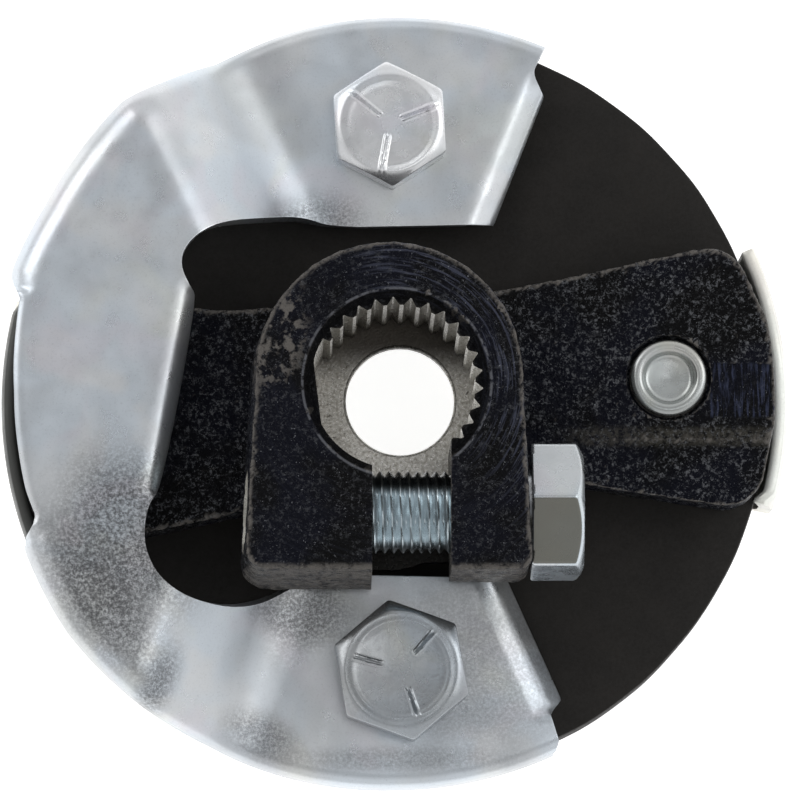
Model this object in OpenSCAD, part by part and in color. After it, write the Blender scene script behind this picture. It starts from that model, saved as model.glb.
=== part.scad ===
// Flexible-disc steering coupling: a splined clamp hub with two arms drives a
// fabric-and-rubber disc, and a stamped safety plate held by two different
// bolts carries the drive on to the shaft flange that is bolted on behind.
// Millimetres, +Z out of the mouth of the hub. The origin is on the shaft
// axis, at the ledge that the end of the splined shaft comes up against.

/* [Clamp hub] */
// Height of the hub's mouth above the shaft ledge
hub_top = 24; // [20:0.5:30]
// Radius of the hub's round end
hub_r = 15.2; // [14:0.1:17]
// Width of the pinch slot between the ears
slot_w = 9; // [6:0.5:10]
// Distance of the ears' end face from the shaft axis
ear_reach = 21.3; // [20.5:0.1:23]
// Thickness of the two arms
arm_t = 8.5; // [7:0.1:9]
// Turn of the two arms and their pins about the shaft axis
arm_clock = 4; // [-5:0.5:5]

/* [Serrated bore] */
// Radius to the crests of the teeth
crest_r = 8.95; // [8.5:0.05:9.1]
// Radius to the roots of the teeth
root_r = 9.8; // [9.6:0.05:10]
// Teeth that a full circle would have
full_teeth = 30; // [24:1:36]
// Grooves cut before the locating flat begins
groove_count = 17; // [12:1:17]
// Radius of the clear hole through the hub's base
through_r = 6.3; // [4:0.1:7]

/* [Pinch bolt] */
// Radius of the pinch bolt's thread
pinch_r = 4.74; // [4:0.01:4.76]
// Distance of the pinch bolt's axis from the shaft axis
pinch_reach = 14.1; // [14:0.1:15]
// Height of the pinch bolt's axis above the ledge
pinch_z = 14.5; // [14.3:0.1:15]

/* [Flexible disc] */
// Radius of the disc
disc_r = 43.5; // [42:0.1:44]
// Thickness of the disc
disc_t = 9.5; // [8:0.1:12]
// Radius of the disc's centre hole
disc_hole_r = 11; // [10.5:0.5:14]
// Diameter of the circle through the two bolts and the two pins
pitch_d = 63.5; // [60:0.5:66]

/* [Safety plate] */
// Thickness of the plate's sheet
sheet_t = 1.8; // [1.5:0.1:2.5]
// Outside radius of the plate's rim
plate_r = 45.2; // [44.8:0.1:45.6]
// Rise from the plate's bolted flats to its bridge over the hidden arm
bridge_rise = 9.9; // [9.5:0.1:12]
// Depth of the turned-down rim below the plate's upper face
skirt_h = 3.5; // [2.5:0.1:3.6]
// Turn of the plate and its two bolts about the shaft axis
plate_clock = 1.2; // [-3:0.1:3]

/* [Bolts and pins] */
// Radius of the small bolt's thread
small_r = 3.97; // [3.5:0.01:4.2]
// Width across flats of the small bolt's head and nut
small_af = 12.7; // [12:0.1:13]
// Radius of the large bolt's thread
large_r = 4.76; // [4.5:0.01:5]
// Width across flats of the large and pinch bolts' heads and the large nut
large_af = 14.29; // [14:0.01:15]
// Radius of the riveted part of the pins
rivet_r = 4.37; // [4:0.01:4.6]
// Radius of the free rear ends of the pins
stop_r = 4.76; // [4.5:0.01:5]
// How far the bolts and pins reach behind the ledge
tail_z = 35; // [32:0.5:40]

/* [Hidden] */
$fn = 96;

disc_top = -2.5;
disc_bottom = disc_top - disc_t;
pin_reach = pitch_d / 2;
arm_top = disc_top + arm_t;
gap = 0.05;

// hub outline
slot_x = -2.8;
boss_x = -0.85;
boss_y = 0.86;
ear_left = -17.1;
ear_right = 15.4;
ear_floor = 5.5;
base_reach = 18.6;
groove_step = 360 / full_teeth;
first_groove = -51.6;
groove_in = 1.06;
groove_start = 8.4;
flat_dir = 187;
flat_reach = 9.1;
mouth_r = 10.5;

// arm outline in its own turned axes
arm_tip_r = 44;

// pinch bolt along X
head_x = ear_right + gap;
pinch_head_h = 6;
pinch_len = 31.7;
pinch_turn = 51;
pinch_face_r = 6.7;
spot_face_r = 8.4;
thread_pitch = 1.058;
thread_depth = 0.6;

// safety plate
plate_z = 0.5 + sheet_t;
edge_w = 2.2;
bridge_top = plate_z + bridge_rise;
lock_t = 2;
small_nut_h = 6.75;
large_nut_h = 8.3;
nut_from_tip = 1.2;
strap_t = 1.3;
lip_in = 44.5;
lip_t = 1.4;
lip_half = 19.5;

// pins, sleeves, bolts and nuts
sleeve_r = 6.35;
collar_r = 6.6;
collar_t = 1.7;
shoulder_r = 9.5;
washer_r = 10;
washer_t = 3;
seat_z = disc_bottom - washer_t;
small_head_h = 5.2;
small_face_r = 5.85;
small_turn = 32;
large_head_h = 6;
large_face_r = 6.6;
large_turn = 39;

// Points along an arc about [x, y], from one angle to another.
function arc(x, y, r, from, to, steps = 8) = [
    for (i = [0 : steps]) let (a = from + (to - from) * i / steps)
        [x + r * cos(a), y + r * sin(a)]
];

// A wedge of a circle between two angles, as a flat shape.
module wedge(r, from, to) {
    reach = r * 2;
    steps = 6;
    polygon([
        [0, 0],
        for (i = [0 : steps]) let (a = from + (to - from) * i / steps)
            [reach * cos(a), reach * sin(a)]
    ]);
}

// A ring sector standing from z0 up by h.
module arc_wall(r_in, r_out, from, to, z0, h) {
    translate([0, 0, z0]) linear_extrude(h) intersection() {
        difference() {
            circle(r_out);
            circle(r_in);
        }
        wedge(r_out, from, to);
    }
}

// A shaft along +Z with annular thread grooves from z0 to z1, plain elsewhere,
// and a chamfered end at the bottom.
module threaded_shaft(r, bottom, top, z0, z1) {
    turns = floor((z1 - z0) / thread_pitch);
    rotate_extrude() polygon([
        [0, bottom],
        [r - 1, bottom],
        [r, bottom + 1],
        for (i = [0 : turns - 1]) let (z = z0 + i * thread_pitch) each [
            [r, z + 0.12],
            [r - thread_depth, z + thread_pitch / 2],
            [r, z + thread_pitch - 0.12]
        ],
        [r, top],
        [0, top]
    ]);
}

// A hexagon bolt head or nut blank, standing on z = 0, chamfered on top.
module hex(af, h, top_r, low_r = 0) {
    corner_r = af / sqrt(3);
    drop = (corner_r - top_r) * 0.5;
    low = low_r > 0 ? low_r : corner_r + 0.2;
    rise = (corner_r + 0.2 - low) * 0.5;
    intersection() {
        cylinder(r = corner_r, h = h, $fn = 6);
        rotate_extrude() polygon([
            [0, 0], [low, 0], [corner_r + 0.2, rise + 0.001],
            [corner_r + 0.2, h - drop - 0.1], [top_r, h], [0, h]
        ]);
    }
}

// Raised radial strokes that mark a bolt's grade.
module grade_marks(r0, len, angles, z) {
    for (a = angles)
        rotate(a) translate([r0, -0.3, z - 0.1]) cube([len, 0.6, 0.3]);
}

module hub_outline() {
    polygon(concat(
        arc(boss_x, boss_y, hub_r, 0, 180, 36),
        arc(ear_left + 2.2, -ear_reach + 2.2, 2.2, 180, 270, 4),
        arc(ear_right - 1.6, -ear_reach + 1.6, 1.6, 270, 360, 4)
    ));
}

// One arm, pointing along +X: narrow at the hub, broad and rounded at the tip.
module arm_outline() {
    polygon(concat(
        [[0, -11], [20, -11.4]],
        arc(37.5, -10.6, 4.6, 260, 345, 6),
        arc(0, 0, arm_tip_r, -8, 8, 8),
        arc(37, 10, 4.8, 15, 100, 6),
        [[19, 12.2], [12, 11.4], [0, 11.4]]
    ));
}

module bore_cut() {
    cylinder(r = crest_r, h = hub_top + 1);
    for (i = [0 : groove_count - 1])
        rotate(first_groove + i * groove_step) linear_extrude(hub_top + 1) polygon([
            [groove_start, -groove_in], [root_r, -0.08],
            [root_r, 0.08], [groove_start, groove_in]
        ]);
    linear_extrude(hub_top + 1) intersection() {
        circle(root_r);
        wedge(root_r, 148, 258);
        rotate(flat_dir) translate([-20, -20]) square([20 + flat_reach, 40]);
    }
    translate([0, 0, hub_top - 1.1]) cylinder(r1 = root_r - 0.3, r2 = mouth_r + 0.05, h = 1.15);
    translate([0.6, 0, disc_top - 1]) cylinder(r = through_r, h = 6);
}

module hub_flange() {
    color("#23242a") difference() {
        union() {
            translate([0, 0, ear_floor]) linear_extrude(hub_top - ear_floor) hub_outline();
            translate([0, 0, disc_top]) linear_extrude(ear_floor - disc_top + 1) intersection() {
                hub_outline();
                translate([-20, -base_reach]) square([40, 40]);
            }
            translate([0, 0, disc_top]) linear_extrude(arm_t)
                for (turn = [0, 180]) rotate(arm_clock + turn) arm_outline();
        }
        bore_cut();
        translate([slot_x, -ear_reach - 1, 0]) cube([slot_w, ear_reach - 2, hub_top + 1]);
        translate([0, -pinch_reach, pinch_z]) rotate([0, 90, 0]) {
            translate([0, 0, -30]) cylinder(r = pinch_r + 0.06, h = 40);
            cylinder(r = pinch_r + 0.35, h = 30);
            translate([0, 0, ear_right - 0.3]) cylinder(r = spot_face_r, h = 6);
        }
        for (turn = [0, 180]) rotate(arm_clock + turn) translate([pin_reach, 0, 0]) {
            translate([0, 0, disc_top - 1]) cylinder(r = rivet_r + 0.03, h = arm_t + 2);
            translate([0, 0, arm_top - 1.4]) cylinder(r = rivet_r + 0.42, h = 2);
        }
    }
}

module pinch_bolt() {
    color("#c9ccc8") translate([0, -pinch_reach, pinch_z]) rotate([0, 90, 0]) {
        translate([0, 0, head_x]) rotate(pinch_turn) hex(large_af, pinch_head_h, pinch_face_r);
        threaded_shaft(pinch_r, head_x - pinch_len, head_x + 0.5,
            head_x - pinch_len + 1.2, head_x - 3.5);
    }
}

module flex_disc() {
    color("#1d1b1a") difference() {
        translate([0, 0, disc_bottom]) rotate_extrude() polygon([
            [disc_hole_r, 0], [disc_r - 0.4, 0], [disc_r, 0.4],
            [disc_r, disc_t - 0.4], [disc_r - 0.4, disc_t], [disc_hole_r, disc_t]
        ]);
        for (turn = [0, 180]) {
            rotate(arm_clock + turn) translate([pin_reach, 0, disc_bottom - 1])
                cylinder(r = sleeve_r + gap, h = disc_t + 2);
            rotate(plate_clock + 90 + turn) translate([pin_reach, 0, disc_bottom - 1])
                cylinder(r = sleeve_r + gap, h = disc_t + 2);
        }
    }
}

// The stamping's height profile, running out from its bolted flats (x = 0) over
// a ramp to the bridge, as a block that reaches far down.
module folded(dir, start, run) {
    rotate(dir) translate([0, 70, 0]) rotate([90, 0, 0]) linear_extrude(140) polygon([
        [-70, plate_z], [start, plate_z], [start + run * 0.2, plate_z + bridge_rise * 0.09],
        [start + run * 0.8, bridge_top - bridge_rise * 0.09], [start + run, bridge_top],
        [70, bridge_top], [70, -30], [-70, -30]
    ]);
}

// All that lies under both folds, each half of the stamping having its own.
module under_folds(drop) {
    translate([0, 0, -drop]) intersection() {
        folded(204.4, -2.6, 16);
        folded(158.8, 0.8, 17);
    }
}

// Outside shape of the stamping: a disc cut off by two end edges on the right.
module plate_outside() {
    intersection() {
        circle(plate_r);
        polygon([
            [-50, -50], [-50, 50], [18.4, 50], [18.4, 40.8], [16.8, 38.2], [18.1, 35.2], [10.2, 15.3],
            [10.2, -15.3], [18.1, -35.2], [16.8, -38.2], [18.4, -40.8], [18.4, -50]
        ]);
    }
}

// The opening that the hub stands in, with a rounded lobe at each inner corner.
module plate_opening() {
    polygon([
        [20, 20.3], [-6.5, 20.3], [-10.4, 21.6], [-15, 21.1], [-19.5, 20.4], [-22.8, 18.6],
        [-24.3, 16.6], [-24.4, 14.8], [-23.4, 12.2], [-23.3, 10.4], [-27.6, -12], [-28.8, -14.6],
        [-29, -17.4], [-27.9, -20.4], [-25.4, -22.6], [-22.4, -23.7], [-19, -24.2], [-15.6, -23.6],
        [-11, -20.9], [-6.5, -20.3], [20, -20.3]
    ]);
}

// Where the sheet is hollow underneath: all but its turned-down edges.
module plate_pocket() {
    difference() {
        union() {
            circle(plate_r - edge_w + 0.4);
            wedge(40, 163, 201);
        }
        for (side = [-1, 1]) polygon([
            [7.8, side * 15.3], [16.4, side * 37], [16.4, side * 60], [60, side * 60], [60, side * 15.3]
        ]);
    }
}

module safety_plate() {
    color("#b9bdbf") rotate(plate_clock) difference() {
        intersection() {
            under_folds(0);
            translate([0, 0, -10]) linear_extrude(40) plate_outside();
        }
        under_folds(skirt_h);
        intersection() {
            under_folds(sheet_t);
            translate([0, 0, -12]) linear_extrude(44) plate_pocket();
        }
        translate([0, 0, -10]) linear_extrude(40) plate_opening();
        translate([0, pin_reach, -10]) cylinder(r = small_r + 0.2, h = 40);
        translate([0, -pin_reach, -10]) cylinder(r = large_r + 0.2, h = 40);
    }
}

module rear_strap() {
    color("#c4bfae") rotate(arm_clock) {
        difference() {
            translate([0, 0, disc_bottom - strap_t]) linear_extrude(strap_t) difference() {
                intersection() {
                    circle(lip_in + lip_t);
                    union() {
                        wedge(60, -lip_half, lip_half);
                        rotate(180) wedge(60, -lip_half, lip_half);
                        translate([-30, -12.5]) square([60, 25]);
                    }
                }
                circle(10);
            }
            for (turn = [0, 180]) rotate(turn) translate([pin_reach, 0, disc_bottom - 5])
                cylinder(r = rivet_r + 0.03, h = 10);
        }
        for (turn = [0, 180]) rotate(turn)
            arc_wall(lip_in, lip_in + lip_t, -lip_half, lip_half, disc_bottom - 0.01, disc_t + 1.01);
    }
}

// A pin riveted through arm, disc and strap, whose free rear end is the stop
// that enters the slots of the shaft flange.
module pin(turn) {
    color("#b4b3ac") rotate(arm_clock + turn) translate([pin_reach, 0, 0]) rotate_extrude() polygon([
        [0, -tail_z], [stop_r - 1.4, -tail_z], [stop_r, -tail_z + 2.2],
        [stop_r, disc_bottom - strap_t - collar_t], [collar_r, disc_bottom - strap_t - collar_t],
        [collar_r, disc_bottom - strap_t], [rivet_r, disc_bottom - strap_t],
        [rivet_r, arm_top + 0.2], [rivet_r - 0.35, arm_top + 0.6], [3.3, arm_top + 0.6],
        [2.75, arm_top - 0.1], [2.2, arm_top - 0.35], [0, arm_top - 0.5]
    ]);
}

module right_pin() { pin(0); }
module left_pin() { pin(180); }

module tube(r_in, r_out, z0, h) {
    translate([0, 0, z0]) difference() {
        cylinder(r = r_out, h = h);
        translate([0, 0, -1]) cylinder(r = r_in, h = h + 2);
    }
}

module pin_sleeve(turn) {
    color("#a7a9a6") rotate(arm_clock + turn) translate([pin_reach, 0, 0])
        tube(rivet_r + 0.03, sleeve_r, disc_bottom, disc_t);
}

module right_pin_sleeve() { pin_sleeve(0); }
module left_pin_sleeve() { pin_sleeve(180); }

// Places something at a bolt hole: side 1 is the small bolt, side -1 the large.
module at_bolt(side) {
    rotate(plate_clock) translate([0, side * pin_reach, 0]) children();
}

module small_bolt() {
    color("#c6c9ca") at_bolt(1) {
        threaded_shaft(small_r, -tail_z, plate_z + 0.5, -tail_z + 1.2, seat_z + 2);
        translate([0, 0, plate_z]) rotate(small_turn) hex(small_af, small_head_h, small_face_r);
        grade_marks(2.4, 2.9, [17, 145, 265], plate_z + small_head_h);
    }
}

module large_bolt() {
    color("#c6c9ca") at_bolt(-1) {
        threaded_shaft(large_r, -tail_z, plate_z + 0.5, -tail_z + 1.2, seat_z + 2);
        translate([0, 0, plate_z]) rotate(large_turn) hex(large_af, large_head_h, large_face_r);
        grade_marks(1, 3, [45, 180, 285], plate_z + large_head_h);
    }
}

// Shouldered sleeve that spaces the plate off the disc and lines the bolt hole.
module bolt_sleeve(side, r) {
    color("#a7a9a6") at_bolt(side) difference() {
        union() {
            translate([0, 0, disc_bottom]) cylinder(r = sleeve_r, h = disc_t + 1);
            translate([0, 0, disc_top]) cylinder(r = shoulder_r, h = plate_z - sheet_t - disc_top);
        }
        translate([0, 0, disc_bottom - 1]) cylinder(r = r + gap, h = 30);
    }
}

module small_bolt_sleeve() { bolt_sleeve(1, small_r); }
module large_bolt_sleeve() { bolt_sleeve(-1, large_r); }

module seat_washer(side, r) {
    color("#b0b2ae") at_bolt(side) tube(r + 0.2, washer_r, seat_z, washer_t);
}

module small_seat_washer() { seat_washer(1, small_r); }
module large_seat_washer() { seat_washer(-1, large_r); }

// Split lock washer, lying on a nut of height h.
module lock_washer(side, r, h) {
    z0 = nut_from_tip - tail_z + h;
    color("#8f9290") at_bolt(side) difference() {
        tube(r + 0.25, r + 3.1, z0, lock_t);
        rotate(25) translate([r - 1, -0.6, z0 - 1]) cube([6, 1.2, lock_t + 2]);
    }
}

module small_lock_washer() { lock_washer(1, small_r, small_nut_h); }
module large_lock_washer() { lock_washer(-1, large_r, large_nut_h); }

// A nut run a few turns onto its bolt, which leaves room for the shaft flange.
module nut(side, r, af, h, turn) {
    z0 = nut_from_tip - tail_z;
    color("#bcbfbe") at_bolt(side) difference() {
        translate([0, 0, z0]) rotate(turn) hex(af, h, af / 2 - 0.1, af / 2 - 0.1);
        translate([0, 0, z0 - 1]) cylinder(r = r + 0.04, h = h + 2);
    }
}

module small_nut() { nut(1, small_r, small_af, small_nut_h, 12); }
module large_nut() { nut(-1, large_r, large_af, large_nut_h, 40); }

hub_flange();
pinch_bolt();
flex_disc();
safety_plate();
rear_strap();
right_pin();
left_pin();
right_pin_sleeve();
left_pin_sleeve();
small_bolt();
large_bolt();
small_bolt_sleeve();
large_bolt_sleeve();
small_seat_washer();
large_seat_washer();
small_lock_washer();
large_lock_washer();
small_nut();
large_nut();
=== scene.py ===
import math
import bmesh
import bpy
import numpy as np
from mathutils import Matrix, Vector, noise
from mathutils.geometry import delaunay_2d_cdt


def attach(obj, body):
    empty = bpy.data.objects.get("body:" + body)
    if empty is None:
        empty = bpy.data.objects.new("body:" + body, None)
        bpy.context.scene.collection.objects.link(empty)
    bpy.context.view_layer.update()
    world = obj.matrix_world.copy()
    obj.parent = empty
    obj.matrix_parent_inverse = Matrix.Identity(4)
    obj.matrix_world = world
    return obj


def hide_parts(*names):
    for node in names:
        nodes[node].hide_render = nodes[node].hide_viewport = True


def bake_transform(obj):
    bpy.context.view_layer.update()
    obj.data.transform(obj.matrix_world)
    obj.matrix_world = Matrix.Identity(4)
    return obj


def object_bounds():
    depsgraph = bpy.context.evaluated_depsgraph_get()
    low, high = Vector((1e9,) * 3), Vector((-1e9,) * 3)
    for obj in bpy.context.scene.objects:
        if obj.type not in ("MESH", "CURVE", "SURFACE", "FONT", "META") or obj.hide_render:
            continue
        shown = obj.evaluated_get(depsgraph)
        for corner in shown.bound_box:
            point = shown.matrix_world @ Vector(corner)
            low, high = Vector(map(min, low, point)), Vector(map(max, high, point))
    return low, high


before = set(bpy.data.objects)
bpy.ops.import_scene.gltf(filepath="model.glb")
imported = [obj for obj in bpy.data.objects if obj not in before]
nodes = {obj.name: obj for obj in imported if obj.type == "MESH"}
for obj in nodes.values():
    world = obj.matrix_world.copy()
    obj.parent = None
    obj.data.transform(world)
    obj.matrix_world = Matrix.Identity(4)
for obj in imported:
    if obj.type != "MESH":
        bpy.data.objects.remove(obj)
cad_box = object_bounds()
MM = 0.001

# Lengths are millimetres and angles degrees, unless a line says otherwise. The coupling's axis
# is Z, and z = 0 is the floor of its bore.
ARM_CLOCK = 4.0         # the pins' line, from +X
PLATE_CLOCK = 1.2       # the bolts' line, from +Y
PIN_REACH = 31.75       # radius of the circle through pins and bolts
HUB_TOP = 24.0
ARM_TOP = 6.0
TAIL_Z = -35.0          # free ends of pins and bolts
BOSS_X, BOSS_Y, BOSS_R = -0.85, 0.86, 15.2
HOLE_R, HOLE_X = 6.3, 0.6
SLOT_X = (-2.8, 6.2)
GROOVE_R, LAND_R = 9.8, 8.95
PINCH_Y, PINCH_Z = -14.1, 14.5
DISC_TOP, DISC_BOTTOM, DISC_R = -2.5, -12.0, 43.5
SLEEVE_R = 6.42
STRAP_T = 1.3
PLATE_Z = 2.3
BRIDGE_RISE = 9.9
SHEET_T = 1.8
THREAD_PITCH = 1.058    # 24 turns an inch
THREAD_DEPTH = 0.6


# --- small maths
def rad(a):
    return math.radians(a)


def smooth(a, b, x):
    """0 at a and before it, 1 at b and after it, and a smooth rise between."""
    t = np.clip((np.asarray(x, float) - a) / (b - a), 0, 1)
    return t * t * (3 - 2 * t)


def turned(points, angle):
    """Points in the plane, turned about the axis."""
    p = np.asarray(points, float)
    c, s = math.cos(rad(angle)), math.sin(rad(angle))
    return np.column_stack([p[:, 0] * c - p[:, 1] * s, p[:, 0] * s + p[:, 1] * c])


def arc(x, y, r, a, b, steps):
    """Points on a circle round x, y, from angle a to angle b."""
    turns = [rad(a + (b - a) * i / steps) for i in range(steps + 1)]
    return [(x + r * math.cos(t), y + r * math.sin(t)) for t in turns]


def rounded(points, step, passes):
    """A closed curve through given points: corners cut, then evenly spaced."""
    p = np.asarray(points, float)
    for _ in range(passes):
        q = np.roll(p, -1, 0)
        p = np.stack([0.75 * p + 0.25 * q, 0.25 * p + 0.75 * q], 1).reshape(-1, 2)
    return spaced(p, step)


def spaced(points, step):
    """A closed line again, with its points evenly spaced."""
    p = np.asarray(points, float)
    q = np.vstack([p, p[:1]])
    seg = np.hypot(*(q[1:] - q[:-1]).T)
    run = np.concatenate([[0], np.cumsum(seg)])
    n = max(8, int(round(run[-1] / step)))
    t = np.arange(n) * run[-1] / n
    return np.column_stack([np.interp(t, run, q[:, 0]), np.interp(t, run, q[:, 1])])


def to_line(points, a, b):
    """Distance from each point to the nearest of the segments that run from a to b."""
    best = np.full(len(points), 1e9)
    for s, e in zip(a, b):
        d = e - s
        t = np.clip(((points - s) @ d) / max(d @ d, 1e-12), 0, 1)
        best = np.minimum(best, np.hypot(*(points - (s + t[:, None] * d)).T))
    return best


def inside(points, loop):
    """Which of the points lie inside a closed line."""
    x, y = points[:, 0], points[:, 1]
    hit = np.zeros(len(points), bool)
    for (x0, y0), (x1, y1) in zip(loop, np.roll(loop, -1, 0)):
        if y0 != y1:
            cross = ((y0 > y) != (y1 > y)) & (x < (x1 - x0) * (y - y0) / (y1 - y0) + x0)
            hit ^= cross
    return hit


# --- making meshes
def link(obj):
    bpy.context.scene.collection.objects.link(obj)
    return obj


def new_object(name, verts, faces):
    mesh = bpy.data.meshes.new(name)
    mesh.from_pydata([tuple(v) for v in np.asarray(verts, float) * MM], [], faces)
    mesh.validate()
    return link(bpy.data.objects.new(name, mesh))


def clean(obj):
    """Welds doubled points and turns every face outwards."""
    bm = bmesh.new()
    bm.from_mesh(obj.data)
    bmesh.ops.remove_doubles(bm, verts=bm.verts, dist=1e-6)
    bmesh.ops.recalc_face_normals(bm, faces=bm.faces)
    bm.to_mesh(obj.data)
    bm.free()
    return obj


def apply_all(obj):
    """Bakes the modifiers into the mesh."""
    graph = bpy.context.evaluated_depsgraph_get()
    graph.update()
    mesh = bpy.data.meshes.new_from_object(obj.evaluated_get(graph))
    obj.modifiers.clear()
    obj.data = mesh
    return obj


def shade(obj, angle):
    """Smooth shading, with edges sharper than the angle left hard."""
    for p in obj.data.polygons:
        p.use_smooth = True
    obj.data.set_sharp_from_angle(angle=rad(angle))
    return obj


def bevel(obj, width):
    mod = obj.modifiers.new("edge", "BEVEL")
    mod.width = width * MM
    mod.segments = 2
    mod.limit_method = "ANGLE"
    mod.angle_limit = rad(50)
    return apply_all(obj)


def joined(name, objects):
    """One object from several, with the first one's materials."""
    bm = bmesh.new()
    for o in objects:
        bm.from_mesh(o.data)
    mesh = bpy.data.meshes.new(name)
    bm.to_mesh(mesh)
    bm.free()
    for m in objects[0].data.materials:
        mesh.materials.append(m)
    for o in objects:
        bpy.data.objects.remove(o)
    return link(bpy.data.objects.new(name, mesh))


def prism(name, loop, z0, z1):
    n = len(loop)
    verts = [(x, y, z) for z in (z0, z1) for x, y in loop]
    faces = [tuple(range(n - 1, -1, -1)), tuple(range(n, 2 * n))]
    faces += [(i, (i + 1) % n, n + (i + 1) % n, n + i) for i in range(n)]
    return clean(new_object(name, verts, faces))


def full_turn(seg):
    """Angles in radians, evenly round a circle."""
    return [2 * math.pi * i / seg for i in range(seg)]


def circle(radii, z):
    """Points evenly round the axis at one height, with a radius each."""
    return [(r * math.cos(a), r * math.sin(a), z) for r, a in zip(radii, full_turn(len(radii)))]


def add_ring(verts, rings, points):
    rings.append(list(range(len(verts), len(verts) + len(points))))
    verts.extend(points)


def ring_faces(rings, seg, closed=False):
    """Faces between neighbouring rings of seg points. A ring of one point is a tip."""
    faces = []
    for a, b in list(zip(rings, rings[1:])) + ([(rings[-1], rings[0])] if closed else []):
        for i in range(seg):
            j = (i + 1) % seg
            if len(a) == 1 and len(b) > 1:
                faces.append((a[0], b[j], b[i]))
            elif len(b) == 1 and len(a) > 1:
                faces.append((a[i], a[j], b[0]))
            elif len(a) > 1:
                faces.append((a[i], a[j], b[j], b[i]))
    return faces


def lathe(name, profile, seg=96, wobble=None):
    """Turns (r, z) pairs round Z. The profile starts and ends on the axis or closes on itself."""
    closed = profile[0][0] > 1e-9 or profile[-1][0] > 1e-9
    verts, rings = [], []
    for r, z in profile:
        if r < 1e-9:
            add_ring(verts, rings, [(0, 0, z)])
        else:
            radii = [r if wobble is None else r + wobble(a, z) for a in full_turn(seg)]
            add_ring(verts, rings, circle(radii, z))
    return clean(new_object(name, verts, ring_faces(rings, seg, closed)))


def moved(obj, matrix):
    obj.data.transform(matrix)
    return obj


def place(x=0.0, y=0.0, z=0.0, turn=0.0):
    return Matrix.Translation((x * MM, y * MM, z * MM)) @ Matrix.Rotation(rad(turn), 4, "Z")


def on_circle(angle):
    """A place on the circle that the pins and bolts share."""
    return place(PIN_REACH * math.cos(rad(angle)), PIN_REACH * math.sin(rad(angle)))


def cut(obj, cutter):
    """Takes the cutter away from the object, which gets the cutter's material on the cut faces."""
    mod = obj.modifiers.new("cut", "BOOLEAN")
    mod.operation = "DIFFERENCE"
    mod.solver = "EXACT"
    mod.object = cutter
    mod.material_mode = "TRANSFER"
    apply_all(obj)
    bpy.data.objects.remove(cutter)
    return obj


def coloured(obj, material):
    obj.data.materials.clear()
    obj.data.materials.append(material)
    return obj


def finish_piece(obj, angle, name, body, replaced):
    """Shades and names the piece, hangs it on its body, and hides the CAD node that it replaces."""
    shade(obj, angle)
    obj.name = name
    obj.data.name = name
    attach(obj, body)
    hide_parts(replaced)


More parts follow.
